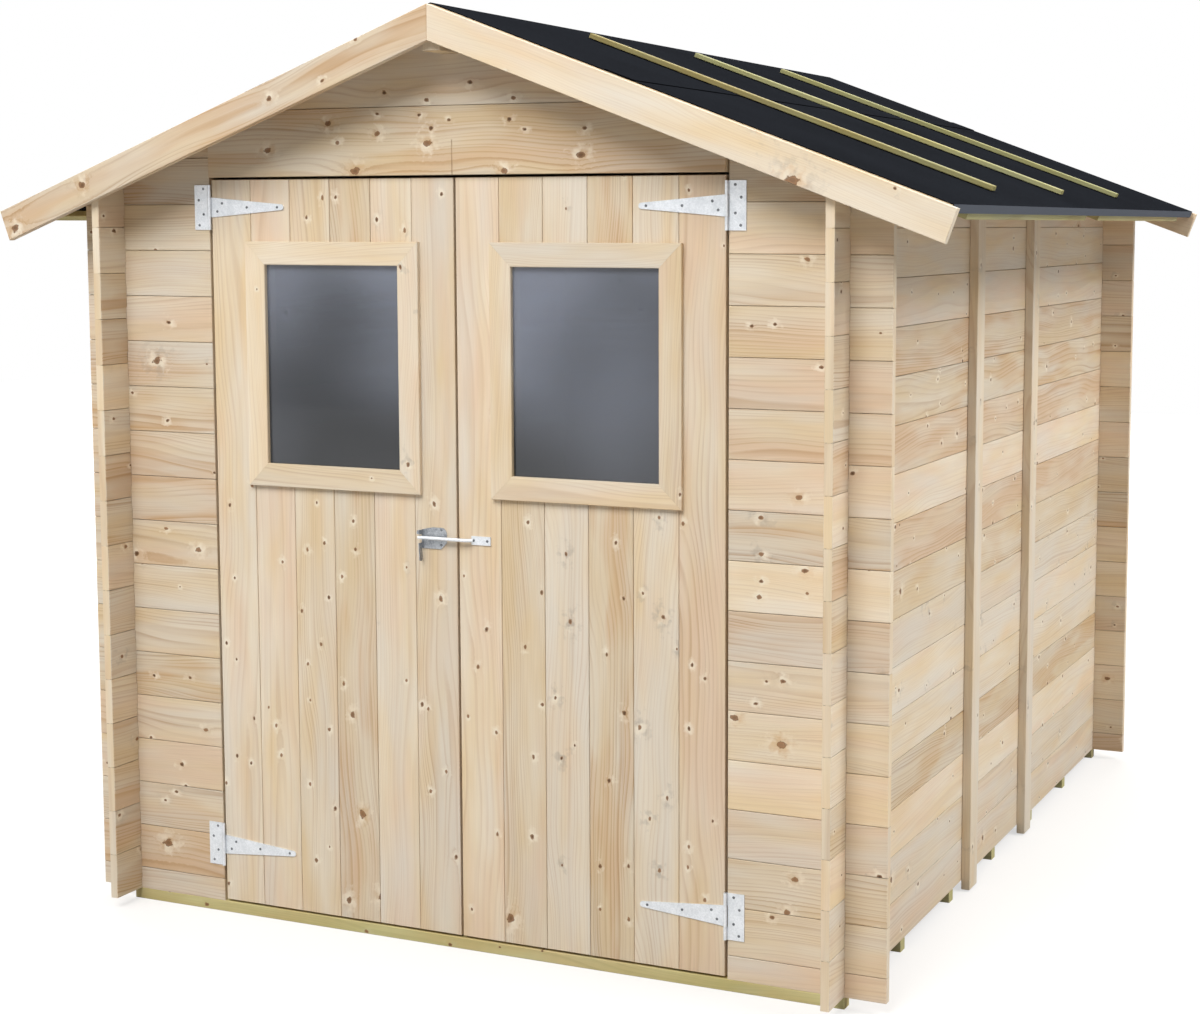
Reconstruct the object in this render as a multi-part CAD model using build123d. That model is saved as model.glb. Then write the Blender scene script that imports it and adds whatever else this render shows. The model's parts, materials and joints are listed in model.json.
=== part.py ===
from build123d import *
import math
import os

# A timber garden shed with crossed-board corners, a felted saddle roof and a pair of ledged doors.
# Millimetres. The origin is on the ground under the middle of the shed; -Y is the front, +Z is up.

# Walls
outer_width = 1976           # across the outer faces of the side walls
outer_depth = 2487           # between the outer faces of the front and back walls
board = 22                   # thickness of the wall boards
course = 115.2               # height that one wall board covers
stub = 99                    # how far each wall runs on past the corner crossing
eave_height = 1856           # outer top edge of the side walls, above the base
tooth_share = 0.5            # share of a board's height that is left where two walls cross

# Base and floor
joist_height = 28
joist_width = 34
joist_count = 7
floor_board = 16
floor_gap = 1                # between the floor's edges and the walls
sill_setback = 28            # from the front wall's outer face to the floor's front edge

# Roof
pitch = 20.4                 # roof slope in degrees
roof_board = 16
eave_overhang = 161          # from the front wall's end to the edge of the roof boards, level
felt = 2                     # thickness of one sheet of roofing felt
felt_tuck = 62               # how far the felt runs back under the eave
felt_lap_start = 470         # where the lower sheet begins, down the slope from the ridge
felt_lap_end = 545           # where the upper sheet ends
ridge_beam_width = 48
ridge_beam_depth = 90        # from the roof boards' underside at the ridge
fascia_width = 78
fascia_thickness = 19
fascia_drop = 2              # from the roof boards' upper face down to the fascia's top edge
fascia_overhang = 17         # how far the fascia runs on past the roof boards, down the slope
strip_width = 34             # laths that hold the felt's tucked edge
strip_thickness = 16
strip_inset = 4
strip_length = 1106
strip_gap = 146
strip_shift = -16            # the gap's middle lies this far before the shed's middle
batten_width = 26            # laths that hold the felt down on the roof
batten_thickness = 13
batten_start = 98            # down the slope from the ridge
batten_end = 1228
batten_spacing = 669
batten_shift = -44           # the row's middle lies this far before the shed's middle

# Upright battens over the joints in the side walls
side_batten_width = 67
side_batten_thickness = 24
side_batten_spacing = 566
side_batten_ground_gap = 5

# Doorway
opening_half = 702
post_width = 45
post_depth = 45
gable_side_gap = 5           # from the doorway's side in to the gable panel
gable_proud = 9.5
gable_bottom = 1852          # above the base
lintel_height = 70
lintel_depth = 44
lintel_rise = 4              # from the gable's lower edge up to the lintel

# Doors
leaf_half_gap = 3            # from the doors' meeting line to a leaf
leaf_side_gap = 7
leaf_bottom_gap = 6
leaf_top_gap = 6
leaf_thickness = 20
ledge_height = 90
ledge_thickness = 18
ledge_inner_inset = 30       # ledge ends, back from the leaf's meeting edge
ledge_outer_inset = 35       # ledge ends, back from the leaf's hinge edge

# Windows
window_shift = 5             # from the leaf's middle towards the meeting line
window_drop = 461            # from the gable's lower edge down to the window's middle
sight_width = 380
sight_height = 492
window_frame = 57            # width of the outer frame's mitred boards
window_frame_proud = 11
window_frame_bevel = 2
inner_frame = 50
glass_thickness = 4
glass_cover = 8              # how far the glass runs behind the frame
glass_clearance = 2          # between the glass and the hole in the boards

# T-hinges
low_hinge = 151              # above the base
high_hinge_drop = 74         # from the gable's lower edge
hinge_metal = 2
hinge_plate_width = 41
hinge_plate_height = 111
hinge_strap_reach = 218      # from the pin to the strap's rounded tip
hinge_strap_root = 50
hinge_strap_tip = 14
knuckle_radius = 4.5
knuckle_gap = 0.5
pin_radius = 2.1
pin_clearance = 0.1
pin_stand = 5                # from the door's face out to the pin's axis

# Latch
bar_height = 985             # above the base
bar_radius = 4.5
bar_stand = 12               # from the door's face out to the bar's axis
bar_tip = 103                # how far the bar's tip lies past the meeting line
bar_bend = 9                 # radius of the bar's two bends
bar_plate_start = 38
bar_plate_length = 52
bar_plate_height = 21
bar_plate_metal = 2.5
latch_metal = 2
latch_plate_inner = 30
latch_plate_outer = 98
latch_plate_rise = 25
latch_plate_fall = 27
latch_plate_round = 15       # radius of the plate's upper inner corner
latch_plate_cut = 16         # what is cut off the plate's lower inner corner
latch_slant_run = 28         # length of the top edge that falls towards the flange
latch_slant_drop = 6
flange_depth = 20
flange_tail = 57
flange_tail_width = 14
flange_tail_lean = 3         # how far the tail leans back over its length
flange_tail_round = 4
notch_half = 7.5
notch_rise = 8
notch_fall = 13
pawl_thickness = 3.5
pawl_gap = 0.8
pawl_pin_rise = 14           # from the bar's axis up to the pawl's rivet
pawl_pin_radius = 2.5
pawl_eye_radius = 4.5
pawl_reach = 9
pawl_nose_rise = 2           # from the rivet up to the pawl's nose
pawl_lift_clearance = 5
rivet_head_radius = 4
rivet_head = 1.5

# Worked out from the sizes above
half_width = outer_width / 2
front = -outer_depth / 2
back = outer_depth / 2
base = joist_height
slope = math.radians(pitch)
rise = math.tan(slope)
ridge_under = base + eave_height + half_width * rise
wall_half = half_width + stub
roof_front = front - stub
roof_back = back + stub
roof_half_width = wall_half + eave_overhang
roof_run = (roof_half_width - roof_board * math.sin(slope)) / math.cos(slope)
beam_bottom = ridge_under - ridge_beam_depth
floor_top = base + floor_board
gable_z = base + gable_bottom
gable_half = opening_half - gable_side_gap
leaf_outer = opening_half - leaf_side_gap
leaf_bottom = base + leaf_bottom_gap
leaf_top = gable_z - leaf_top_gap
window_x = (leaf_half_gap + leaf_outer) / 2 - window_shift
window_z = gable_z - window_drop
hinge_levels = (base + low_hinge, gable_z - high_hinge_drop)
hinge_x = leaf_outer + leaf_side_gap / 2
hinge_y = front - pin_stand

parts = {}


def block(x0, x1, y0, y1, z0, z1):
    """A plain board between two corners."""
    size = (x1 - x0, y1 - y0, z1 - z0)
    middle = ((x0 + x1) / 2, (y0 + y1) / 2, (z0 + z1) / 2)
    return Pos(*middle) * Box(*size)


def along_y(points, y0, y1):
    """An outline in X and Z, run along Y."""
    outline = make_face(Polyline([(x, y0, z) for x, z in points], close=True))
    return extrude(outline, amount=y1 - y0, dir=(0, 1, 0))


def mirrored(shape):
    return mirror(shape, about=Plane.YZ)


def roof_point(down, up):
    """A point down the right-hand slope from the ridge and up from the roof boards' underside."""
    x = down * math.cos(slope) + up * math.sin(slope)
    z = ridge_under - down * math.sin(slope) + up * math.cos(slope)
    return (x, z)


def under_roof(x):
    return ridge_under - abs(x) * rise


def ridge_point(up):
    """A point on the roof's middle plane, measured square to the slope."""
    return (0, ridge_under + up / math.cos(slope))


def wall_teeth(first, x0, x1, y0, y1):
    """The notches of one wall at a corner: one to a course, over half of its height."""
    notch = course * (1 - tooth_share)
    count = math.ceil((under_roof(x0) - base) / course) + 1
    notches = []
    for row in range(count):
        middle = base + (row + first) * course
        low = max(middle - notch / 2, base)
        high = min(middle + notch / 2, under_roof(min(abs(x0), abs(x1))) + board)
        if high > low:
            notches.append(block(x0, x1, y0, y1, low, high))
    return notches


def build_base():
    """Seven treated joists across the shed and the floor boards laid on them."""
    step = (outer_depth - joist_width) / (joist_count - 1)
    joists = []
    for index in range(joist_count):
        y = front + index * step
        joists.append(block(-half_width, half_width, y, y + joist_width, 0, joist_height))
    parts["front_joist"] = joists[0]
    parts["floor_joists"] = Compound(joists[1:])
    inner = half_width - board - floor_gap
    parts["floor_deck"] = block(-inner, inner, front + sill_setback, back - board - floor_gap, base, floor_top)


def build_walls():
    """Four board walls whose boards lie half a course apart and cross in a comb at each corner."""
    inner = half_width - board
    cross_front = (front, front + board)
    cross_back = (back - board, back)

    wing = [(opening_half, base), (wall_half, base), (wall_half, under_roof(wall_half))]
    wing.append((opening_half, under_roof(opening_half)))
    right = along_y(wing, *cross_front) - wall_teeth(0.5, inner, half_width, *cross_front)
    parts["front_wall_right"] = right
    parts["front_wall_left"] = mirrored(right)

    beam = ridge_beam_width / 2
    rear = [(-wall_half, base), (wall_half, base), (wall_half, under_roof(wall_half))]
    rear += [(beam, under_roof(beam)), (beam, beam_bottom), (-beam, beam_bottom), (-beam, under_roof(beam))]
    rear.append((-wall_half, under_roof(wall_half)))
    rear_wall = along_y(rear, *cross_back)
    rear_wall -= wall_teeth(0.5, inner, half_width, *cross_back)
    rear_wall -= wall_teeth(0.5, -half_width, -inner, *cross_back)
    parts["back_wall"] = rear_wall

    side = [(inner, base), (half_width, base), (half_width, under_roof(half_width)), (inner, under_roof(inner))]
    side_wall = along_y(side, front - stub, back + stub)
    side_wall -= wall_teeth(0, inner, half_width, *cross_front)
    side_wall -= wall_teeth(0, inner, half_width, *cross_back)
    parts["right_wall"] = side_wall
    parts["left_wall"] = mirrored(side_wall)


def build_side_battens():
    """Two upright battens on each side wall, from just over the ground to the roof boards."""
    outer = half_width + side_batten_thickness
    profile = [(half_width, side_batten_ground_gap), (outer, side_batten_ground_gap)]
    profile += [(outer, under_roof(outer)), (half_width, under_roof(half_width))]
    battens = []
    for side in (-1, 1):
        y = side * side_batten_spacing / 2
        battens.append(along_y(profile, y - side_batten_width / 2, y + side_batten_width / 2))
    parts["side_battens_right"] = Compound(battens)
    parts["side_battens_left"] = Compound([mirrored(batten) for batten in battens])


def build_doorway():
    """The proud gable panel over the doors, and the posts and lintel behind it."""
    beam = ridge_beam_width / 2
    outline = [(-gable_half, gable_z), (gable_half, gable_z), (gable_half, under_roof(gable_half))]
    outline += [(beam, under_roof(beam)), (beam, beam_bottom), (-beam, beam_bottom), (-beam, under_roof(beam))]
    outline.append((-gable_half, under_roof(gable_half)))
    gable_back = front - gable_proud + board
    parts["front_gable"] = along_y(outline, front - gable_proud, gable_back)

    lintel_z = gable_z + lintel_rise
    lintel_top = lintel_z + lintel_height
    lintel = block(-opening_half, opening_half, gable_back, gable_back + lintel_depth, lintel_z, lintel_top)
    parts["door_lintel"] = lintel
    post_y = front + board
    post = block(opening_half, opening_half + post_width, post_y, post_y + post_depth, floor_top, lintel_top)
    parts["door_post_right"] = post
    parts["door_post_left"] = mirrored(post)


def build_roof():
    """Ridge beam, roof boards, lapped felt folded round the eaves, and the laths that hold it."""
    beam = ridge_beam_width / 2
    profile = [(-beam, beam_bottom), (beam, beam_bottom), (beam, under_roof(beam)), (0, ridge_under)]
    profile.append((-beam, under_roof(beam)))
    parts["ridge_beam"] = along_y(profile, roof_front, roof_back)

    deck = [ridge_point(0), roof_point(roof_run, 0), roof_point(roof_run, roof_board), ridge_point(roof_board)]
    parts["roof_deck_right"] = along_y(deck, roof_front, roof_back)
    parts["roof_deck_left"] = mirrored(parts["roof_deck_right"])

    top = roof_board + felt
    edge = roof_run + felt
    tuck = roof_run - felt_tuck
    lower = [roof_point(felt_lap_start, roof_board), roof_point(felt_lap_start, top), roof_point(edge, top)]
    lower += [roof_point(edge, -felt), roof_point(tuck, -felt), roof_point(tuck, 0)]
    lower += [roof_point(roof_run, 0), roof_point(roof_run, roof_board)]
    parts["felt_lower_right"] = along_y(lower, roof_front, roof_back)
    parts["felt_lower_left"] = mirrored(parts["felt_lower_right"])

    half = [roof_point(felt_lap_start, roof_board), roof_point(felt_lap_start, top), roof_point(felt_lap_end, top)]
    half += [roof_point(felt_lap_end, top + felt), roof_point(felt_lap_start - felt, top + felt)]
    half.append(roof_point(felt_lap_start - 2 * felt, top))
    upper = [ridge_point(roof_board)] + half + [ridge_point(top)]
    upper += [(-x, z) for x, z in reversed(half)]
    parts["felt_upper"] = along_y(upper, roof_front, roof_back)

    seat = top + felt
    rail = [roof_point(batten_start, seat), roof_point(batten_end, seat)]
    rail += [roof_point(batten_end, seat + batten_thickness), roof_point(batten_start, seat + batten_thickness)]
    rails = []
    for step in (-1, 0, 1):
        y = batten_shift + step * batten_spacing
        rails.append(along_y(rail, y - batten_width / 2, y + batten_width / 2))
    parts["roof_battens_right"] = Compound(rails)
    parts["roof_battens_left"] = Compound([mirrored(piece) for piece in rails])

    outer = roof_run - strip_inset
    lath = [roof_point(outer - strip_width, -felt), roof_point(outer, -felt)]
    lath += [roof_point(outer, -felt - strip_thickness), roof_point(outer - strip_width, -felt - strip_thickness)]
    laths = []
    for y in (strip_shift + strip_gap / 2, strip_shift - strip_gap / 2 - strip_length):
        laths.append(along_y(lath, y, y + strip_length))
    parts["eave_strips_right"] = Compound(laths)
    parts["eave_strips_left"] = Compound([mirrored(piece) for piece in laths])


def build_fascias():
    """Four sloping boards nailed over the ends of the roof, mitred at the apex."""
    top = roof_board - fascia_drop
    low = top - fascia_width
    end = roof_run + fascia_overhang
    outline = [ridge_point(low), roof_point(end, low), roof_point(end, top), ridge_point(top)]
    parts["fascia_front_right"] = along_y(outline, roof_front - fascia_thickness, roof_front)
    parts["fascia_front_left"] = mirrored(parts["fascia_front_right"])
    parts["fascia_back_right"] = along_y(outline, roof_back, roof_back + fascia_thickness)
    parts["fascia_back_left"] = mirrored(parts["fascia_back_right"])


def upright_rect(width, height, y):
    """A rectangle in X and Z round the window's middle."""
    plane = Plane(origin=(window_x, y, window_z), x_dir=(1, 0, 0), z_dir=(0, -1, 0))
    return plane * Rectangle(width, height)


def ring(outer_w, outer_h, inner_w, inner_h, y0, y1):
    """A rectangular frame round the window, from y0 back to y1."""
    face = upright_rect(outer_w, outer_h, y0) - upright_rect(inner_w, inner_h, y0)
    return extrude(face, amount=y1 - y0, dir=(0, 1, 0))


def build_right_leaf():
    """The right-hand door: a board panel with a window, three ledges and two strap hinges."""
    face = front
    inside = front + leaf_thickness
    glass_w = sight_width + 2 * glass_cover
    glass_h = sight_height + 2 * glass_cover
    hole_w = glass_w + 2 * glass_clearance
    hole_h = glass_h + 2 * glass_clearance
    panel = block(leaf_half_gap, leaf_outer, face, inside, leaf_bottom, leaf_top)
    panel -= extrude(upright_rect(hole_w, hole_h, face), amount=leaf_thickness, dir=(0, 1, 0))

    left = leaf_half_gap + ledge_inner_inset
    right = leaf_outer - ledge_outer_inset
    ledges = []
    for middle in (hinge_levels[0], base + bar_height, hinge_levels[1]):
        low = middle - ledge_height / 2
        ledges.append(block(left, right, inside, inside + ledge_thickness, low, low + ledge_height))

    outer_w = sight_width + 2 * window_frame
    outer_h = sight_height + 2 * window_frame
    outer_frame = ring(outer_w, outer_h, sight_width, sight_height, face - window_frame_proud, face)
    sight_edges = outer_frame.faces().sort_by(Axis.Y)[0].inner_wires()[0].edges()
    outer_frame = chamfer(sight_edges, window_frame_bevel)

    glass = extrude(upright_rect(glass_w, glass_h, face), amount=glass_thickness, dir=(0, 1, 0))
    bead = ring(glass_w, glass_h, sight_width, sight_height, face + glass_thickness, inside)
    cover_w = sight_width + 2 * inner_frame
    cover_h = sight_height + 2 * inner_frame
    cover = ring(cover_w, cover_h, sight_width, sight_height, inside, inside + ledge_thickness)
    return {
        "panel": panel,
        "ledges": Compound(ledges),
        "window_frame": outer_frame,
        "inner_frame": bead + cover,
        "glass": glass,
    }


def build_doors():
    for name, shape in build_right_leaf().items():
        parts["door_right_" + name] = shape
        parts["door_left_" + name] = mirrored(shape)


def on_pin(radius, z0, z1):
    """A cylinder on the axis of the right-hand hinges."""
    return Pos(hinge_x, hinge_y, (z0 + z1) / 2) * Cylinder(radius, z1 - z0)


def hinge_plate(middle):
    """The wall half of a T-hinge: a screwed plate, two knuckles and the pin."""
    low = middle - hinge_plate_height / 2
    high = middle + hinge_plate_height / 2
    inner_low = middle - hinge_strap_root / 2 - knuckle_gap
    inner_high = middle + hinge_strap_root / 2 + knuckle_gap
    plate_x = hinge_x + knuckle_radius + knuckle_gap
    plate = block(plate_x, plate_x + hinge_plate_width, front - hinge_metal, front, low, high)
    for z0, z1 in ((low, inner_low), (inner_high, high)):
        plate += block(hinge_x, plate_x, front - hinge_metal, front, z0, z1)
        plate += on_pin(knuckle_radius, z0, z1)
    return plate + on_pin(pin_radius, low, high)


def hinge_strap(middle):
    """The door half of a T-hinge: a knuckle and a strap that tapers to a rounded tip."""
    root = hinge_strap_root / 2
    tip = hinge_strap_tip / 2
    tip_x = hinge_x - hinge_strap_reach + tip
    top = Line((hinge_x, root), (tip_x, tip))
    nose = ThreePointArc((tip_x, tip), (tip_x - tip, 0), (tip_x, -tip))
    low = Line((tip_x, -tip), (hinge_x, -root))
    heel = Line((hinge_x, -root), (hinge_x, root))
    outline = make_face([top, nose, low, heel])
    plane = Plane(origin=(0, front, middle), x_dir=(1, 0, 0), z_dir=(0, -1, 0))
    strap = extrude(plane * outline, amount=hinge_metal, dir=(0, -1, 0))
    strap += on_pin(knuckle_radius, middle - root, middle + root)
    return strap - on_pin(pin_radius + pin_clearance, middle - root, middle + root)


def build_hinges():
    plates = [hinge_plate(level) for level in hinge_levels]
    straps = [hinge_strap(level) for level in hinge_levels]
    parts["hinge_plates_right"] = Compound(plates)
    parts["hinge_plates_left"] = Compound([mirrored(plate) for plate in plates])
    parts["hinge_straps_right"] = Compound(straps)
    parts["hinge_straps_left"] = Compound([mirrored(strap) for strap in straps])


def side_plate(points, x0, x1):
    """An outline in Y and Z, run along X."""
    outline = make_face(Polyline([(x0, y, z) for y, z in points], close=True))
    return extrude(outline, amount=x1 - x0, dir=(1, 0, 0))


def build_latch():
    """Gate latch on the left leaf, its lifting pawl, and the bar on the right leaf that it catches."""
    axis_z = base + bar_height
    plate_low = axis_z - latch_plate_fall
    plate_high = axis_z + latch_plate_rise
    outer_x = -latch_plate_outer
    inner_x = -latch_plate_inner
    flange_high = plate_high - latch_slant_drop
    outline = [(outer_x, plate_low), (outer_x, flange_high), (outer_x + latch_slant_run, plate_high)]
    outline += [(inner_x, plate_high), (inner_x, plate_low + latch_plate_cut), (inner_x - latch_plate_cut, plate_low)]
    plate = along_y(outline, front - latch_metal, front)
    upper_corner = plate.edges().filter_by(Axis.Y).group_by(Axis.Z)[-1].sort_by(Axis.X)[-1]
    plate = fillet(upper_corner, latch_plate_round)

    outer_y = front - flange_depth
    notch_y = front - bar_stand + notch_half
    low = axis_z - notch_fall
    high = axis_z + notch_rise
    flange = [(front, plate_low), (front, flange_high), (outer_y, flange_high), (outer_y, high), (notch_y, high)]
    flange += [(notch_y, low), (outer_y, low), (outer_y, plate_low)]
    flange = side_plate(flange, outer_x, outer_x + latch_metal)
    tail_z = axis_z - flange_tail
    tail_y = outer_y + flange_tail_lean
    tail = [(outer_y, plate_low), (outer_y + flange_tail_width, plate_low), (tail_y + flange_tail_width, tail_z)]
    tail.append((tail_y, tail_z))
    tail = side_plate(tail, outer_x, outer_x + latch_metal)
    tail = fillet(tail.edges().filter_by(Axis.X).group_by(Axis.Z)[0], flange_tail_round)
    body = plate + flange + tail

    rivet_y = front - bar_stand
    rivet_z = axis_z + pawl_pin_rise
    far_x = outer_x - 2 * pawl_gap - pawl_thickness
    turn = Plane(origin=(outer_x, rivet_y, rivet_z), x_dir=(0, 1, 0), z_dir=(-1, 0, 0))
    shank = extrude(turn * Circle(pawl_pin_radius), amount=outer_x - far_x)
    head_plane = Plane(origin=(far_x, rivet_y, rivet_z), x_dir=(0, 1, 0), z_dir=(-1, 0, 0))
    head = extrude(head_plane * Circle(rivet_head_radius), amount=rivet_head)
    parts["latch_body"] = body + shank + head

    near_x = outer_x - pawl_gap
    pawl_plane = Plane(origin=(near_x, rivet_y, rivet_z), x_dir=(0, 1, 0), z_dir=(-1, 0, 0))
    arm_low = axis_z + bar_radius + pawl_lift_clearance
    nose_y = rivet_y - pawl_reach
    arm = [(rivet_y, arm_low), (nose_y, arm_low), (nose_y, rivet_z + pawl_nose_rise)]
    arm.append((rivet_y, rivet_z + pawl_eye_radius))
    pawl = side_plate(arm, near_x - pawl_thickness, near_x)
    pawl += extrude(pawl_plane * Circle(pawl_eye_radius), amount=pawl_thickness)
    hole = extrude(pawl_plane * Circle(pawl_pin_radius + pin_clearance), amount=pawl_thickness)
    parts["latch_pawl"] = pawl - hole

    route = FilletPolyline(
        (bar_plate_start + bar_radius, front - bar_radius, axis_z),
        (bar_plate_start - bar_bend, front - bar_stand, axis_z),
        (-bar_tip, front - bar_stand, axis_z),
        radius=bar_bend,
    )
    section = Plane(origin=route @ 0, z_dir=route % 0) * Circle(bar_radius)
    rod = sweep(section, path=route)
    plate_x = bar_plate_start + bar_plate_length
    half_height = bar_plate_height / 2
    pad = block(bar_plate_start, plate_x, front - bar_plate_metal, front, axis_z - half_height, axis_z + half_height)
    behind = block(-bar_tip, plate_x, front, front + bar_stand, plate_low, plate_high)
    parts["striker_bar"] = rod - behind + pad


build_base()
build_walls()
build_side_battens()
build_doorway()
build_roof()
build_fascias()
build_doors()
build_hinges()
build_latch()

os.makedirs("parts", exist_ok=True)
for name, shape in parts.items():
    export_step(shape, os.path.join("parts", name + ".step"))
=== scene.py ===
from functools import partial
import json
import math
import random

import bmesh
import bpy
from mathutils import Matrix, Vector


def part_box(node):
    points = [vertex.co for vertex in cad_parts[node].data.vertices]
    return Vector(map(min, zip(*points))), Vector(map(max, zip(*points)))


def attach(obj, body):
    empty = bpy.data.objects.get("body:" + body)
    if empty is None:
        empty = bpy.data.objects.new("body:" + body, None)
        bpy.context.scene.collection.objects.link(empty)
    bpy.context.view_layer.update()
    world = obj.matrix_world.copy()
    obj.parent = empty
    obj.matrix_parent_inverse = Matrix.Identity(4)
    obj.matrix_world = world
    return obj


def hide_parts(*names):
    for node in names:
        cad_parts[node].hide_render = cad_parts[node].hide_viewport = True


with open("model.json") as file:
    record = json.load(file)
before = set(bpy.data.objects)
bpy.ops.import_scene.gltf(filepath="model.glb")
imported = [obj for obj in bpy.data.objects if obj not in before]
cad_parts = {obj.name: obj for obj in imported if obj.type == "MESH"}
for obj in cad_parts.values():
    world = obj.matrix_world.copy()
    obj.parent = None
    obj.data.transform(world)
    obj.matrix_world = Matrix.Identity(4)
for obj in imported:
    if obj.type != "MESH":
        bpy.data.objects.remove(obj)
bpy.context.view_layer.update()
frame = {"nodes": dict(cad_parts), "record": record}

mm = 0.001
tiny = 1e-5  # metres, less than any gap in the shed

# What every piece of timber shares
timber = {
    "course": 115.2 * mm,  # cover height of a wall board
    "arris": 1.2 * mm,  # the planer's bevel on each long edge
    "wornArris": 1.5 * mm,  # the same on battens, laths and posts
    "seam": 1.1 * mm,  # open joint between two boards
    "tongue": 6 * mm,  # closes that joint inside the boards
    "groove": 7 * mm,  # from the boards' faces to the tongue
    "proudest": 0.35 * mm,  # boards are never quite flush
    "pitch": math.radians(20.4),
}
rise = math.tan(timber["pitch"])

halves = ((1, "right"), (-1, "left"))  # of the shed: the sign of x there, and its name

boxOf = {name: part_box(name) for name in frame["nodes"]}
wallBack = boxOf["back_wall"]
wallSide = boxOf["right_wall"]
base = wallBack[0].z
ridgeUnder = wallSide[1].z + wallSide[0].x * rise  # underside of the roof boards at the ridge
beamBox = boxOf["ridge_beam"]


def underRoof(x):
    return ridgeUnder - abs(x) * rise


def linearColour(text):
    # "#D9C3A0" or such, from sRGB to the linear values that the shaders want
    values = [int(text[i:i + 2], 16) / 255 for i in (1, 3, 5)]
    linear = [v / 12.92 if v <= 0.04045 else ((v + 0.055) / 1.055) ** 2.4 for v in values]
    return (*linear, 1.0)


def openSocket(sockets, key):
    if isinstance(key, int):
        return sockets[key]
    return next(s for s in sockets if s.name == key and s.enabled)


def addNode(tree, kind, links=(), operation=None, stops=(), **settings):
    # One node with its settings and a ramp's stops; links and fixed values go by socket or in order
    made = tree.nodes.new("ShaderNode" + kind)
    if operation:
        made.operation = operation
    for name, value in settings.items():
        setattr(made, name, value)
    for key, value in links.items() if isinstance(links, dict) else enumerate(links):
        socket = openSocket(made.inputs, key)
        if isinstance(value, bpy.types.Node):
            value = next(s for s in value.outputs if s.enabled)
        if isinstance(value, bpy.types.NodeSocket):
            tree.links.new(value, socket)
        else:
            socket.default_value = linearColour(value) if isinstance(value, str) else value
    for index, (position, colour) in enumerate(stops):
        ramp = made.color_ramp.elements
        element = ramp[index] if index < 2 else ramp.new(position)
        element.position = position
        element.color = linearColour(colour) if isinstance(colour, str) else (colour,) * 3 + (1,)
    return made


def newMaterial(name, shade, look):
    # A material whose surface comes from one of the functions below, with its look
    material = bpy.data.materials.new(name)
    material.use_nodes = True
    material.node_tree.nodes.clear()
    add = partial(addNode, material.node_tree)
    add("OutputMaterial", {"Surface": shade(add, look)})
    return material


# Timber

planedLook = {  # planed Nordic spruce, unfinished: pale, with faint rings, brown streaks and small dark knots
    "pale": "#EADCC5",
    "cream": "#E4CDA8",
    "pink": "#E4C8AE",
    "grey": "#E0D8CB",
    "flame": "#CFA063",
    "lateWood": "#B58C62",
    "streak": "#A57F5C",
    "clear": "#F4EAD6",  # painted highlight: short grain beside a knot, which catches the light
    "bark": "#4C3828",
    "heart": "#9E7048",
    "stain": "#958C82",
    "ringSpacing": 7.5,  # mm; real rings are 2 to 4 mm, too fine to show
    "ringShow": 0.70,
    "pins": 0.30,  # share of the 0.12 x 0.05 m patches that have a pin knot
    "knots": 0.14,  # the same for large knots, in patches of 0.5 x 0.115 m
    "roughness": 0.62,
    "fibre": 0.10,  # mm of relief
    "shade": 0.12,
    "upwards": 0.68,  # painted shade: what faces up is darkened by this factor
}
sawnLook = {  # sawn spruce: duller and rougher than the planed boards
    **planedLook,
    "pale": "#D9C6A6",
    "cream": "#D0B78F",
    "pink": "#CDAC89",
    "grey": "#C9BDAA",
    "roughness": 0.80,
    "fibre": 0.30,
    "upwards": 0.9,
}
treatedLook = {  # sawn pine pressed full of copper salts, which turn it olive green
    **planedLook,
    "pale": "#CFC893",
    "cream": "#BFB57A",
    "pink": "#C9B180",
    "grey": "#BAB997",
    "flame": "#94824A",
    "lateWood": "#857F4C",
    "streak": "#776F43",
    "clear": "#C9C294",
    "knots": 0.12,
    "roughness": 0.78,
    "fibre": 0.25,
    "upwards": 1.0,
}
paintedShadeLathLook = {  # the same timber in thin laths, in a darker olive copy: partly their deeper colour, partly painted shade for the strong light on top of the roof
    **treatedLook,
    "pale": "#A9A46E",
    "cream": "#979157",
    "pink": "#9F8C5B",
    "grey": "#9A9B76",
    "clear": "#B2AC75",
}
knotLayers = [f"knot{number}" for number in range(14)]  # a board's own knots


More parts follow.
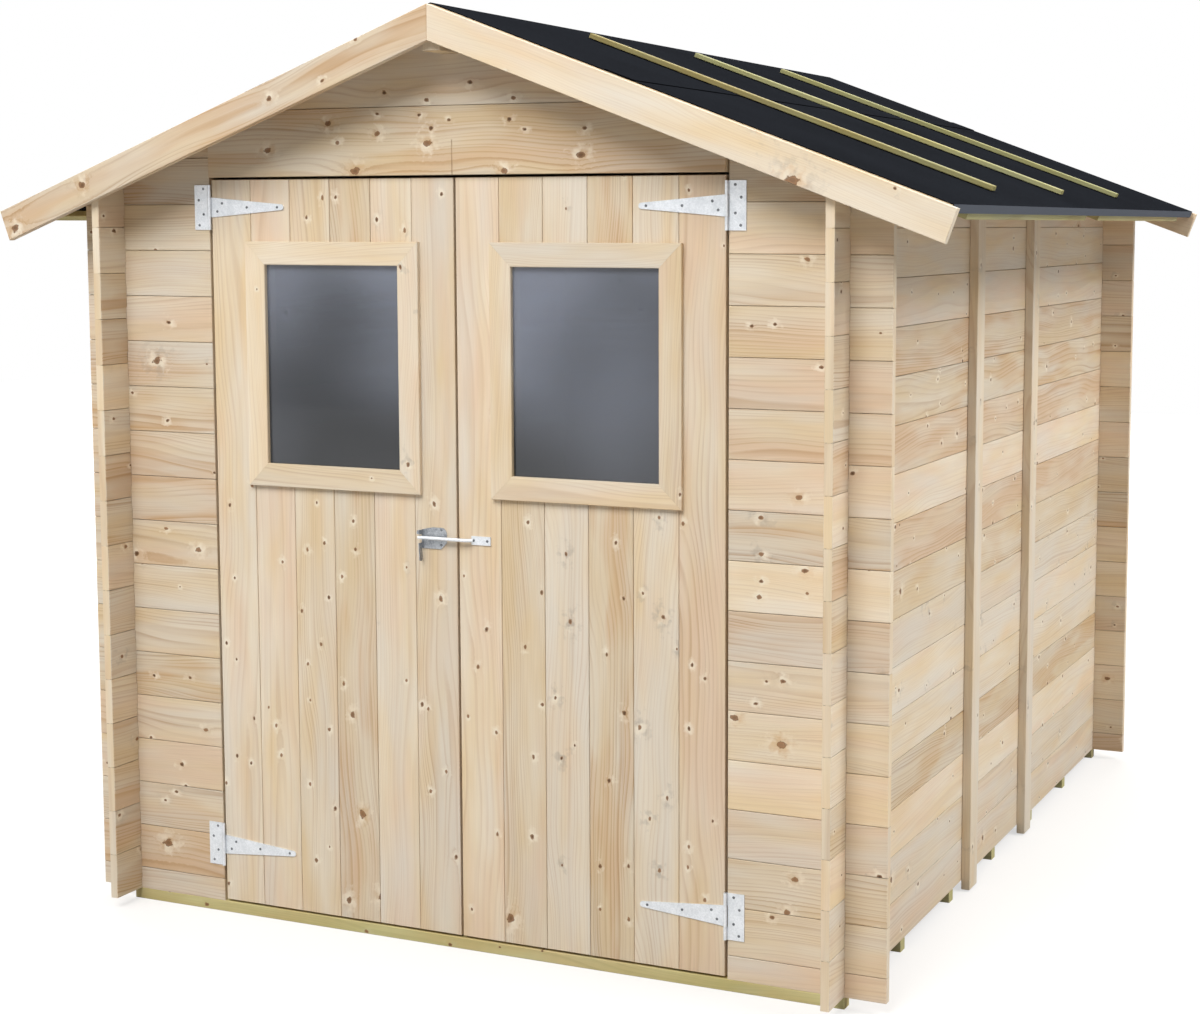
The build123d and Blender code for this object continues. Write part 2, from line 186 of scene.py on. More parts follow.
def shadeTimber(add, look):
    grain = add("Attribute", attribute_name="grain").outputs["Vector"]
    tone = add("SeparateXYZ", [add("Attribute", attribute_name="tone").outputs["Vector"]])
    wild = add("Attribute", attribute_name="wild").outputs["Fac"]
    place = add("SeparateXYZ", [grain])

    def stretched(scale, detail):
        # Noise that is drawn out along the board
        spot = add("VectorMath", [grain, scale], "MULTIPLY")
        return add("TexNoise", {"Vector": spot, "Scale": 1.0, "Detail": detail})

    # Knots, by the distance from the nearest one's middle over its radius, and by that radius
    squat = 0.75  # a knot is a third longer along the board than across it

    def scattered(lengthwise, crosswise, share, least, most):
        spot = add("VectorMath", [grain, (1 / lengthwise, 1 / crosswise, 0)], "MULTIPLY")
        cells = add("TexVoronoi", {"Vector": spot, "Scale": 1.0}, voronoi_dimensions="2D")
        chance = add("SeparateColor", [cells.outputs["Color"]])
        away = add("VectorMath", [spot, cells.outputs["Position"]], "SUBTRACT")
        real = add("VectorMath", [away, (lengthwise * squat, crosswise, 0)], "MULTIPLY")
        distance = add("VectorMath", [real], "LENGTH")
        there = add("Math", [add("Math", [wild, share], "MULTIPLY"), chance], "GREATER_THAN")
        spread = add("Math", [chance.outputs[1], 1.6], "POWER")
        own = add("MapRange", {"Value": spread, "To Min": least, "To Max": most})
        radius = add("Math", [own, there, tiny], "MULTIPLY_ADD")
        return add("Math", [distance, radius], "DIVIDE"), own

    near, size = scattered(0.12, 0.05, look["pins"], 2.6 * mm, 5.2 * mm)
    fields = [scattered(0.50, 0.115, look["knots"], 6.5 * mm, 12 * mm)]
    for layer in knotLayers:
        spot = add("Attribute", attribute_name=layer).outputs["Vector"]
        distance = add("VectorMath", [add("VectorMath", [spot, (squat, 1, 0)], "MULTIPLY")], "LENGTH")
        own = add("SeparateXYZ", [spot]).outputs[2]
        fields.append((add("Math", [distance, own], "DIVIDE"), own))
    for field, own in fields:
        closer = add("Math", [field, near], "LESS_THAN")
        size = add("Mix", {"Factor": closer, "A": size, "B": own})
        near = add("Math", [field, near], "MINIMUM")
    rough = add("TexNoise", {"Vector": grain, "Scale": 90.0, "Detail": 3.0})
    ragged = add("SeparateColor", [rough.outputs["Color"]])
    broad = add("TexNoise", {"Vector": grain, "Scale": 42.0, "Detail": 0.0})
    lopsided = add("SeparateColor", [broad.outputs["Color"]])
    shape = add("MapRange", {"Value": ragged, "From Min": 0.3, "From Max": 0.7, "To Min": 0.68,
                             "To Max": 1.42})
    near = add("Math", [near, shape], "MULTIPLY")

    # Growth rings round a pith line beside the board, which wanders along it
    wander = add("MapRange", {"Value": stretched((0.9, 3.5, 3.5), 2.0), "From Min": 0.25, "From Max": 0.75,
                              "To Min": -0.045, "To Max": 0.045})
    aside = add("MapRange", {"Value": tone, "To Min": -0.16, "To Max": 0.16})
    across = add("Math", [place.outputs[1], aside], "SUBTRACT")
    across = add("Math", [across, wander], "ADD")
    depth = add("MapRange", {"Value": tone.outputs[1], "To Min": 0.012, "To Max": 0.09})
    depth = add("Math", [depth, place.outputs[2]], "ADD")
    radius = add("VectorMath", [add("CombineXYZ", [across, depth])], "LENGTH")
    radius = add("Math", [place, 0.006, radius], "MULTIPLY_ADD")
    # The grain swerves round a knot
    swerve = add("Math", [near, near], "MULTIPLY")
    swerve = add("Math", [swerve, 0.45, 1.0], "MULTIPLY_ADD")
    swerve = add("Math", [add("Math", [size, 1.3], "MULTIPLY"), swerve], "DIVIDE")
    radius = add("Math", [radius, swerve], "ADD")
    uneven = add("TexNoise", {"W": radius, "Scale": 45.0, "Detail": 1.0}, noise_dimensions="1D")
    rings = add("Math", [radius, 1 / (look["ringSpacing"] * mm)], "MULTIPLY")
    rings = add("Math", [uneven, 2.2, rings], "MULTIPLY_ADD")
    rings = add("Math", [rings], "FRACT")
    late = add("ValToRGB", [rings], stops=[(0.0, 0.08), (0.97, 0.0), (0.50, 0.12), (0.84, 1.0)])

    # Where rings and streaks show: in groups, and more on some boards than on others
    group = add("MapRange", {"Value": stretched((1.1, 17, 17), 3.0), "From Min": 0.40, "From Max": 0.68})
    boardShow = add("MapRange", {"Value": tone.outputs[2], "To Min": 0.15})
    show = add("Math", [group, boardShow], "MULTIPLY")
    show = add("Math", [show, 0.85, 0.15], "MULTIPLY_ADD")
    ringMask = add("Math", [late, show], "MULTIPLY")
    ringMask = add("Math", [ringMask, look["ringShow"]], "MULTIPLY")
    lengthwise = add("Math", [place, 1.6], "MULTIPLY")
    fineAt = add("CombineXYZ", [lengthwise, add("Math", [radius, 190.0], "MULTIPLY")])
    streaks = add("TexNoise", {"Vector": fineAt, "Scale": 1.0, "Detail": 4.0})
    streaks = add("MapRange", {"Value": streaks, "From Min": 0.55, "From Max": 0.80})
    streaks = add("Math", [streaks, show], "MULTIPLY")
    streaks = add("Math", [streaks, 0.55], "MULTIPLY")
    fibre = stretched((9, 700, 700), 2.0)

    # Colour: soft blotches of cream, pink and grey, which differ from board to board
    patches = add("SeparateColor", [stretched((2.6, 13, 13), 2.0).outputs["Color"]])
    paleness = add("MapRange", {"Value": patches, "From Min": 0.36, "From Max": 0.64})
    colour = add("Mix", {"Factor": paleness, "A": look["pale"], "B": look["cream"]}, data_type="RGBA")
    for patch, board, tint in ((1, 1, "pink"), (2, 0, "grey")):
        part = add("Math", [tone.outputs[board], 0.45], "MULTIPLY")
        part = add("Math", [patches.outputs[patch], 1.6, part], "MULTIPLY_ADD")
        part = add("MapRange", {"Value": part, "From Min": 0.94, "From Max": 1.40, "To Max": 0.70})
        colour = add("Mix", {"Factor": part, "A": colour, "B": look[tint]}, data_type="RGBA")
    # Brown flames on strongly ringed boards, and a brown glow round large knots
    flames = add("MapRange", {"Value": patches.outputs[1], "From Min": 0.50, "From Max": 0.60})
    flames = add("Math", [flames, add("Math", [late, 0.55, 0.45], "MULTIPLY_ADD")], "MULTIPLY")
    ringed = add("MapRange", {"Value": tone.outputs[2], "From Min": 0.72, "From Max": 0.95, "To Max": 0.6})
    flames = add("Math", [flames, ringed], "MULTIPLY")
    wide = add("MapRange", {"Value": size, "From Min": 0.0045, "From Max": 0.007})
    glow = add("MapRange", {"Value": near, "From Min": 3.5, "From Max": 1.0, "To Max": 0.45})
    glow = add("Math", [glow, wide], "MULTIPLY")
    flames = add("Math", [flames, glow], "MAXIMUM")
    for factor, tint in ((flames, "flame"), (ringMask, "lateWood"), (streaks, "streak")):
        colour = add("Mix", {"Factor": factor, "A": colour, "B": look[tint]}, data_type="RGBA")
    fleck = add("MapRange", {"Value": fibre, "From Min": 0.25, "From Max": 0.75, "To Min": 0.95,
                             "To Max": 1.04})
    lightness = add("MapRange", {"Value": tone.outputs[2], "To Min": 1 + look["shade"] / 2,
                                 "To Max": 1 - look["shade"]})
    # Painted shade: faces that look up are darkened
    upwards = add("SeparateXYZ", [add("NewGeometry").outputs["Normal"]]).outputs[2]
    paintedTopShadeScale = add("MapRange", {"Value": upwards, "From Min": 0.6, "From Max": 0.93, "To Min": 1.0,
                              "To Max": look["upwards"]})
    for scale in (fleck, lightness, paintedTopShadeScale):
        colour = add("VectorMath", {0: colour, "Scale": scale}, "SCALE")

    # Knots: grey stains, a painted highlight of pale short grain in ragged patches beside them, and a brown
    # body, which is near black all over in a small knot and at the rim of a large one
    stain = add("MapRange", {"Value": near, "From Min": 7.0, "From Max": 2.0})
    streaky = add("Mix", {"Factor": 0.4, "A": lopsided.outputs[2], "B": ragged.outputs[2]})
    streaky = add("MapRange", {"Value": streaky, "From Min": 0.50, "From Max": 0.60})
    stain = add("Math", [stain, streaky], "MULTIPLY")
    greyBoard = add("MapRange", {"Value": tone, "From Min": 0.55, "From Max": 0.9, "To Max": 0.42})
    stain = add("Math", [stain, greyBoard], "MULTIPLY")
    # Painted highlight: pale short grain beside a knot, as if it caught the light
    paintedKnotHighlight = add("MapRange", {"Value": near, "From Min": 4.0, "From Max": 1.1})
    patchy = add("Mix", {"Factor": 0.3, "A": lopsided.outputs[1], "B": ragged.outputs[1]})
    patchy = add("MapRange", {"Value": patchy, "From Min": 0.44, "From Max": 0.58})
    paintedKnotHighlight = add("Math", [paintedKnotHighlight, patchy], "MULTIPLY")
    paintedKnotHighlight = add("Math", [paintedKnotHighlight, 0.75], "MULTIPLY")
    body = add("MapRange", {"Value": near, "From Min": 1.15, "From Max": 0.80, "To Max": 0.85})
    rim = add("ValToRGB", [near], stops=[(0.70, 0.0), (1.08, 0.0), (0.90, 0.6)])
    rim = add("Math", [rim, wide], "MULTIPLY")
    slight = add("MapRange", {"Value": size, "From Min": 0.005, "From Max": 0.013, "To Min": 0.92,
                              "To Max": 0.35})
    faint = add("MapRange", {"Value": patches.outputs[1], "From Min": 0.40, "From Max": 0.58, "To Min": 0.40})
    core = add("MapRange", {"Value": near, "From Min": 1.0, "From Max": 0.35})
    core = add("Math", [core, add("Math", [slight, faint], "MULTIPLY")], "MULTIPLY")
    for factor, tint in ((stain, "stain"), (paintedKnotHighlight, "clear"), (body, "heart"), (rim, "bark"), (core, "bark")):
        colour = add("Mix", {"Factor": factor, "A": colour, "B": look[tint]}, data_type="RGBA")

    # The finish: bare wood, whose fibres stand up a little
    bump = add("Bump", {"Height": fibre, "Strength": 1.0, "Distance": look["fibre"] * mm})
    sheen = add("Math", [late, -0.08, look["roughness"]], "MULTIPLY_ADD")
    return add("BsdfPrincipled", {"Base Color": colour, "Roughness": sheen, "Normal": bump,
                                  "Specular IOR Level": 0.25, "IOR": 1.5})


# Other finishes

feltLook = {  # bitumen roofing felt with fine slate grit, which leaves it flat charcoal with a faint glint
    "dark": "#17181B",
    "mid": "#1E2024",
    "glint": "#2E3136",
    "fold": "#656A73",  # painted sheen: the sheet is painted paler where it is bent down over the eave
    "bend": (12, 8),  # mm inside the roof boards' edge, between which the painted sheen begins
    "cut": "#08080A",  # bare black bitumen at the cut edges
    "grit": 1.6,  # mm; real grit is 0.5 mm, too fine to show
    "roughness": 0.88,
}


def shadeFelt(add, look):
    where = add("TexCoord").outputs["Object"]
    grit = add("TexVoronoi", {"Vector": where, "Scale": 1 / (look["grit"] * mm)})
    speck = add("SeparateColor", [grit.outputs["Color"]])
    cloud = add("TexNoise", {"Vector": where, "Scale": 3.0, "Detail": 4.0})
    specks = add("ValToRGB", [speck], stops=[(0.0, look["dark"]), (1.0, look["glint"]), (0.75, look["mid"])])
    soft = add("ValToRGB", [cloud], stops=[(0.3, look["dark"]), (0.7, look["mid"])])
    colour = add("Mix", {"Factor": 0.45, "A": soft, "B": specks}, data_type="RGBA")
    facing = add("SeparateXYZ", [add("VectorMath", [add("NewGeometry").outputs["Normal"]], "ABSOLUTE")])
    cut = add("Math", [facing, facing.outputs[1]], "MAXIMUM")
    # Painted sheen: the faces bent down over the eave are painted paler
    outwards = add("SeparateXYZ", [add("VectorMath", [where], "ABSOLUTE")])
    start, end = (boxOf["roof_deck_right"][1].x - inside * mm for inside in look["bend"])
    fold = add("MapRange", {"Value": outwards, "From Min": start, "From Max": end})
    fold = add("Math", [fold, facing], "MULTIPLY")
    for part, tint in ((cut, "cut"), (fold, "fold")):
        part = add("MapRange", {"Value": part, "From Min": 0.5, "From Max": 0.85})
        colour = add("Mix", {"Factor": part, "A": colour, "B": look[tint]}, data_type="RGBA")
    roll = add("TexNoise", {"Vector": where, "Scale": 9.0, "Detail": 1.0})
    height = add("Math", [roll, 6.0, grit.outputs["Distance"]], "MULTIPLY_ADD")
    bump = add("Bump", {"Height": height, "Strength": 0.6, "Distance": 0.5 * mm})
    return add("BsdfPrincipled", {"Base Color": colour, "Roughness": look["roughness"], "Normal": bump,
                                  "Specular IOR Level": 0.0})


steelLook = {  # bright zinc-plated steel, stamped: pale blue-grey with a soft satin shine
    "pale": "#E2E5E9",
    "mid": "#D4D8DC",
    "stain": "#C9CDD2",
    "spangle": 3.0,  # mm
    "roughness": 0.40,
    "metal": 0.7,
}
paintedShadeLatchLook = {  # the same steel in a darker grey copy for the latch: painted shade
    **steelLook,
    "pale": "#B4B7BB",
    "mid": "#9A9EA3",
    "stain": "#74777C",
    "roughness": 0.45,
}
screwLook = {  # countersunk steel screws, blacked by the weather
    **steelLook,
    "pale": "#8F9397",
    "mid": "#6A6D71",
    "stain": "#46484B",
    "roughness": 0.5,
}


def shadeSteel(add, look):
    where = add("TexCoord").outputs["Object"]
    spangle = add("TexVoronoi", {"Vector": where, "Scale": 1 / (look["spangle"] * mm)})
    facet = add("SeparateColor", [spangle.outputs["Color"]])
    cloud = add("TexNoise", {"Vector": where, "Scale": 55.0, "Detail": 4.0})
    blend = add("Math", [facet, 0.35, cloud], "MULTIPLY_ADD")
    stops = [(0.30, look["stain"]), (0.95, look["pale"]), (0.62, look["mid"])]
    colour = add("ValToRGB", [blend], stops=stops)
    rough = add("MapRange", {"Value": cloud, "From Min": 0.3, "From Max": 0.7,
                             "To Min": look["roughness"] - 0.06, "To Max": look["roughness"] + 0.12})
    scratchAt = add("VectorMath", [where, (120, 400, 2600)], "MULTIPLY")
    scratch = add("TexNoise", {"Vector": scratchAt, "Scale": 1.0, "Detail": 2.0})
    bump = add("Bump", {"Height": scratch, "Strength": 0.5, "Distance": 0.03 * mm})
    return add("BsdfPrincipled", {"Base Color": colour, "Roughness": rough, "Normal": bump,
                                  "Metallic": look["metal"]})


glassLook = {  # float glass whose colour holds a painted reflection: pale bluish above, fading to dark grey towards the foot, where the dark inside shows through
    "film": "#C1C8D9",
    "foot": "#484C52",
    "roughness": 0.03,
    "clear": 0.72,
}


def shadeGlass(add, look):
    where = add("TexCoord").outputs["Object"]
    cloud = add("TexNoise", {"Vector": where, "Scale": 2.0, "Detail": 1.0})
    # Painted reflection: the colour goes from dark at the foot to pale bluish at the top, with a cloudy edge
    low, high = boxOf["door_right_glass"]
    height = add("MapRange", {"Value": add("SeparateXYZ", [where]).outputs[2],
                              "From Min": low.z, "From Max": high.z, "To Min": -0.25, "To Max": 0.25})
    height = add("Math", [height, cloud], "ADD")
    paintedReflectionMask = add("MapRange", {"Value": height, "From Min": 0.15, "From Max": 0.85},
                interpolation_type="SMOOTHSTEP")
    colour = add("Mix", {"Factor": paintedReflectionMask, "A": look["foot"], "B": look["film"]}, data_type="RGBA")
    dust = add("MapRange", {"Value": cloud, "From Min": 0.3, "From Max": 0.7,
                            "To Min": look["roughness"], "To Max": 3 * look["roughness"]})
    return add("BsdfPrincipled", {"Base Color": colour, "Roughness": dust, "IOR": 1.52,
                                  "Transmission Weight": look["clear"]})


finishes = {
    "planed_spruce": newMaterial("planedSpruce", shadeTimber, planedLook),
    "sawn_spruce": newMaterial("sawnSpruce", shadeTimber, sawnLook),
    "treated_pine": newMaterial("treatedPine", shadeTimber, treatedLook),
    "laths": newMaterial("treatedPineLathsPaintedShade", shadeTimber, paintedShadeLathLook),
    "roofing_felt": newMaterial("slateGritFelt", shadeFelt, feltLook),
    "galvanised_steel": newMaterial("zincPlatedSteel", shadeSteel, steelLook),
    "window_glass": newMaterial("floatGlass", shadeGlass, glassLook),
    "screws": newMaterial("blackedScrewSteel", shadeSteel, screwLook),
    "latch": newMaterial("paintedShadeLatchSteel", shadeSteel, paintedShadeLatchLook),
}
print("finishes made")


# Boards

def inset(outline, distance):
    # The outline drawn in by a distance, corner by corner; it runs anticlockwise
    drawn = []
    for index, point in enumerate(outline):
        before, after = outline[index - 1], outline[(index + 1) % len(outline)]
        a = Vector((point[0] - before[0], point[1] - before[1])).normalized()
        b = Vector((after[0] - point[0], after[1] - point[1])).normalized()
        normalA, normalB = Vector((-a.y, a.x)), Vector((-b.y, b.x))
        middle = normalA + normalB
        reach = distance * 2 / max(middle.length_squared, 0.3)
        drawn.append((point[0] + middle.x * reach, point[1] + middle.y * reach, *point[2:]))
    return drawn


def shell(first, count, bands):
    # Faces that join rings of points, numbered from first on, and close both ends
    last = first + bands * count
    faces = [list(range(first, first + count)), list(range(last, last + count))]
    for low in range(first, last, count):
        for index in range(count):
            after = (index + 1) % count
            faces.append([low + index, low + after, low + count + after, low + count + index])
    return faces


def newPiece(name, points, faces, look, body):
    # An object whose faces all look outwards, in one finish, on one body
    mesh = bpy.data.meshes.new(name)
    mesh.from_pydata([tuple(point) for point in points], [], faces)
    tidy = bmesh.new()
    tidy.from_mesh(mesh)
    bmesh.ops.recalc_face_normals(tidy, faces=tidy.faces)
    tidy.to_mesh(mesh)
    tidy.free()
    mesh.materials.append(finishes[look])
    piece = bpy.data.objects.new(name, mesh)
    bpy.context.scene.collection.objects.link(piece)
    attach(piece, body)
    return piece


class BoardPile:
    # Gathers boards into one mesh, and keeps for each board what its grain needs
    def __init__(self, name, seed):
        self.name, self.random = name, random.Random(seed)
        self.points, self.faces, self.owner, self.boards = [], [], [], []

    def keep(self, rings, *board):
        faces = shell(len(self.points), len(rings[0]), len(rings) - 1)
        self.points += [point for ring in rings for point in ring]
        self.faces += faces
        self.owner += [len(self.boards)] * len(faces)
        self.boards.append(board)

    def add(self, outline, lay, depth, origin=(0, 0, 0), tone=None, knots=(), arris=timber["arris"],
            proud=timber["proudest"], wild=1.0, shade=0.0):
        # outline: (a, c) or (a, c, lean), where lean is how c moves from the face into the board
        # knots are its own; wild is the share of scattered ones that it has as well
        along, across, through = (Vector(axis).normalized() for axis in lay)
        origin = Vector(origin)
        area = sum(p[0] * q[1] - q[0] * p[1] for p, q in zip(outline, outline[1:] + outline[:1]))
        outline = outline if area > 0 else outline[::-1]
        face = depth[0] + self.random.uniform(0, proud)
        drawn = inset(outline, arris)
        rings, back = [], depth[1]
        for ring, t in ((drawn, face), (outline, face + arris), (outline, back - arris), (drawn, back)):
            rings.append([])
            for point in ring:
                lean = point[2] * (t - depth[0]) if len(point) > 2 else 0.0
                rings[-1].append(origin + along * point[0] + across * (point[1] + lean) + through * t)
        middle = (min(p[1] for p in outline) + max(p[1] for p in outline)) / 2
        tone = tone or [self.random.random() for _ in range(3)]
        tone = [tone[0], tone[1], shade + tone[2] * (1 - shade)]
        shift = self.random.uniform(0, 40)  # so that no two boards share a pattern
        self.keep(rings, origin, along, across, through, middle, shift, tone, list(knots), depth[0], wild)

    def tongue(self, lay, start, stop, place, depth):
        # Closes the joint between two boards, from one place along them to another
        half, groove = timber["tongue"] / 2, timber["groove"]
        if stop - start > timber["tongue"]:
            short = 0.5 * mm  # it ends inside the boards' ends
            outline = rectangle(start + short, stop - short, place - half, place + half)
            inside = (depth[0] + groove, depth[1] - groove)
            self.add(outline, lay, inside, tone=[0.5] * 3, arris=short, proud=0, wild=0)

    def finish(self, finish, body, nodes, look=None):
        piece = newPiece(self.name, self.points, self.faces, look or finish, body)
        mesh = piece.data
        layers = {key: [] for key in ("grain", "tone", *knotLayers)}
        wilds = []
        for face, owner in zip(mesh.polygons, self.owner):
            origin, along, across, through, middle, shift, tone, knots, outer, wild = self.boards[owner]
            isEnd = abs(face.normal.dot(along)) > 0.8
            wilds += [0.0 if isEnd else wild] * len(face.vertices)
            for index in face.vertices:
                local = mesh.vertices[index].co - origin
                a, c, t = local.dot(along), local.dot(across), local.dot(through) - outer
                layers["grain"] += (c + shift, t, a) if isEnd else (a + shift, c - middle, t)
                layers["tone"] += [value * 0.5 for value in tone] if isEnd else tone
                for number, key in enumerate(knotLayers):
                    if number < len(knots) and not isEnd:
                        layers[key] += (a - knots[number][0], c - knots[number][1], knots[number][2])
                    else:
                        layers[key] += (1.0, 1.0, 0.001)  # a knot far away
        for key, values in layers.items():
            mesh.attributes.new(key, "FLOAT_VECTOR", "CORNER").data.foreach_set("vector", values)
        mesh.attributes.new("wild", "FLOAT", "CORNER").data.foreach_set("value", wilds)
        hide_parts(*nodes)


def outlinesOf(stops, edgesAt, ceiling=None):
    # A row's outlines between its stops; it is open where the row is cut away
    outlines, lower, upper = [], [], []
    stops = sorted(set(stops))
    for a, b in zip(stops, stops[1:]):
        low, high = edgesAt((a + b) / 2)
        tops = [min(high, ceiling(x)) if ceiling else high for x in (a, b)]
        if sum(tops) / 2 - low < timber["arris"] * 3:
            if lower:
                outlines.append(lower + upper[::-1])
            lower, upper = [], []
            continue
        lower += [(a, low), (b, low)]
        upper += [(a, max(tops[0], low)), (b, max(tops[1], low))]
    if lower:
        outlines.append(lower + upper[::-1])
    return [withoutSpares(outline) for outline in outlines]


def withoutSpares(outline):
    # Drops points that repeat, or that lie on the line between their neighbours
    kept = [p for i, p in enumerate(outline) if (Vector(p) - Vector(outline[i - 1])).length > tiny]
    result = []
    for i, p in enumerate(kept):
        a = Vector(p) - Vector(kept[i - 1])
        b = Vector(kept[(i + 1) % len(kept)]) - Vector(p)
        if abs(a.x * b.y - a.y * b.x) > tiny * a.length * b.length:
            result.append(p)
    return result


def rectangle(a0, a1, c0, c1):
    return [(a0, c0), (a1, c0), (a1, c1), (a0, c1)]


def rowsBetween(low, high, size, first=None):
    # Edges of the boards that fill a width, of which the first may be narrower
    edges, edge = [low], low + (first or size)
    while edge < high - tiny:
        edges.append(edge)
        edge += size
    return list(zip(edges, edges[1:] + [high]))


alongX, alongY, alongZ = Vector((1, 0, 0)), Vector((0, 1, 0)), Vector((0, 0, 1))
facingFront = (alongX, alongZ, alongY)  # a board's length, its width, and the way from its face inwards
facingBack = (alongX, alongZ, -alongY)
uprightFront = (alongZ, alongX, alongY)


# Walls

walls = {
    "keep": 0.25,  # share of the course above and below the middle that stays where two walls cross
    "shade": {"front_wall_left": 0.7},  # how much darker than usual its boards are
    # Knots that stand out on the front: x, height and radius in mm
    "knots": [
        (-879, 159, 10), (-875, 1418, 9), (-871, 1699, 4), (-835, 1517, 5), (-955, 1335, 4),
        (-847, 1267, 4), (-955, 917, 6), (-760, 939, 7), (-910, 601, 4), (-796, 604, 4), (-750, 472, 5),
        (-925, 436, 4), (-818, 319, 4), (-884, 273, 4), (872, 1159, 6), (781, 1109, 5), (782, 1027, 5),
        (887, 996, 6), (782, 965, 4), (778, 928, 5), (893, 945, 4), (836, 741, 5), (770, 684, 4),
        (718, 647, 7), (832, 594, 9), (849, 207, 6), (868, 286, 6), (813, 1544, 4), (758, 1539, 4),
    ],
    "wild": {"front_wall_left": 0.25, "front_wall_right": 0.35},  # share of the scattered knots
}


def knotsIn(spots, a0, a1, c0, c1, upright=False):
    # The knots on one board, as its own (along, across, radius)
    found = []
    for x, z, radius in spots:
        a, c = (z * mm, x * mm) if upright else (x * mm, z * mm)
        if a0 < a < a1 and c0 < c < c1:
            found.append((a, c, radius * mm))
    return sorted(found, key=lambda knot: -knot[2])[:len(knotLayers)]


def crossing(inner, outer, rowLow, rowHigh):
    # A board's lower and upper edge at a place along it, with the notch where two walls cross
    middle = rowLow + timber["course"] / 2
    reach = timber["course"] * walls["keep"]

    def edgesAt(place):
        if inner < abs(place) < outer:
            return max(middle - reach, base), middle + reach
        return max(rowLow + timber["seam"] / 2, base), rowHigh - timber["seam"] / 2
    return edgesAt


def frontAndBack():
    course, seam = timber["course"], timber["seam"]
    inner, outer = wallSide[0].x, wallSide[1].x
    beamHalf, beamLow = beamBox[1].x, beamBox[0].z
    reach = course * walls["keep"]
    jobs = [
        ("frontBoardsRight", "front_wall_right", 11, facingFront),
        ("frontBoardsLeft", "front_wall_left", 12, facingFront),
        ("backBoards", "back_wall", 13, facingBack),
    ]
    for name, node, seed, lay in jobs:
        low, high = boxOf[node]
        depth = (low.y, high.y) if lay is facingFront else (-high.y, -low.y)
        pile = BoardPile(name, seed)
        rows = math.ceil((high.z - base) / course + 0.5)
        for row in range(rows):
            rowLow = base + (row - 0.5) * course
            rowHigh = rowLow + course
            middle = rowLow + course / 2
            stops = [low.x, high.x, -outer, -inner, inner, outer, -beamHalf, 0.0, beamHalf]
            for level in (rowLow + seam / 2, rowHigh - seam / 2, middle - reach, middle + reach):
                stops += [side * (ridgeUnder - level) / rise for side in (-1, 1)]
            stops = [x for x in stops if low.x <= x <= high.x]
            edges = crossing(inner, outer, rowLow, rowHigh)

            def underBeam(place):
                bottom, top = edges(place)
                return bottom, min(top, beamLow) if abs(place) < beamHalf else top

            spots = knotsIn(walls["knots"], low.x, high.x, rowLow, rowHigh) if lay is facingFront else ()
            for outline in outlinesOf(stops, underBeam, underRoof):
                pile.add(outline, lay, depth, knots=spots, wild=walls["wild"].get(node, 1.0),
                         shade=walls["shade"].get(node, 0.0))

        for row in range(1, rows):
            level = base + (row - 0.5) * course
            slope = (ridgeUnder - level) / rise - timber["tongue"]
            clear = beamHalf if level > beamLow - timber["tongue"] else 0.0
            for a, b in ((low.x, -outer), (-inner, -clear), (clear, inner), (outer, high.x)):
                pile.tongue(lay, max(a, low.x, -slope), min(b, high.x, slope), level, depth)
        pile.finish("planed_spruce", "root", [node])


def sideWalls():
    course = timber["course"]
    inner, outer = wallBack[0].y, wallBack[1].y
    low, high = wallSide
    top = underRoof(high.x)
    rows = math.ceil((top - base) / course)
    for (side, name), seed in zip(halves, (21, 22)):
        pile = BoardPile("sideBoards" + name.title(), seed)
        lay = (alongY, alongZ, -side * alongX)
        for row in range(rows):
            rowLow = base + row * course
            edges = crossing(inner, outer, rowLow, rowLow + course)

            def capped(place):
                bottom, edge = edges(place)
                return bottom, min(edge, top)

            for outline in outlinesOf([low.y, -outer, -inner, inner, outer, high.y], capped):
                # The top edge is planed to the slope of the roof
                outline = [(a, c, rise if c > top - tiny else 0.0) for a, c in outline]
                pile.add(outline, lay, (-high.x, -low.x))
        for row in range(1, rows):
            for a, b in ((low.y, -outer), (-inner, inner), (outer, high.y)):
                pile.tongue(lay, a, b, base + row * course, (-high.x, -low.x))
        pile.finish("planed_spruce", "root", [name + "_wall"])


battens = {
    "width": 67,  # mm
    "tone": [0.85, 0.2, 0.3],  # how grey, how pink and how strongly ringed
}


def sideBattens():
    low, high = boxOf["side_battens_right"]
    width = battens["width"] * mm
    for side, name in halves:
        pile = BoardPile("uprightBattens" + name.title(), 31 + side)
        for y0 in (low.y, high.y - width):
            pile.add(rectangle(low.z, underRoof(high.x), y0, y0 + width), (alongZ, alongY, -side * alongX),
                     (-high.x, -low.x), tone=battens["tone"], arris=timber["wornArris"])
        pile.finish("planed_spruce", "root", ["side_battens_" + name])


gable = {
    "seam": 2042,  # mm over the ground
    "joint": 1961,  # top of the short upright joint in the lower board
    "wild": 0.2,  # share of the scattered knots
    "knots": [
        (-517, 1944, 7), (-342, 2005, 7), (-203, 2026, 4), (-204, 1979, 6), (-88, 2021, 4), (-6, 2008, 4),
        (-55, 1990, 5), (-67, 1954, 8), (-267, 1891, 9), (154, 2007, 5), (195, 1982, 4), (350, 1983, 5),
        (338, 1922, 8), (139, 1888, 7), (-183, 2075, 5), (-68, 2056, 5), (51, 2094, 5), (165, 2055, 5),
    ],
}


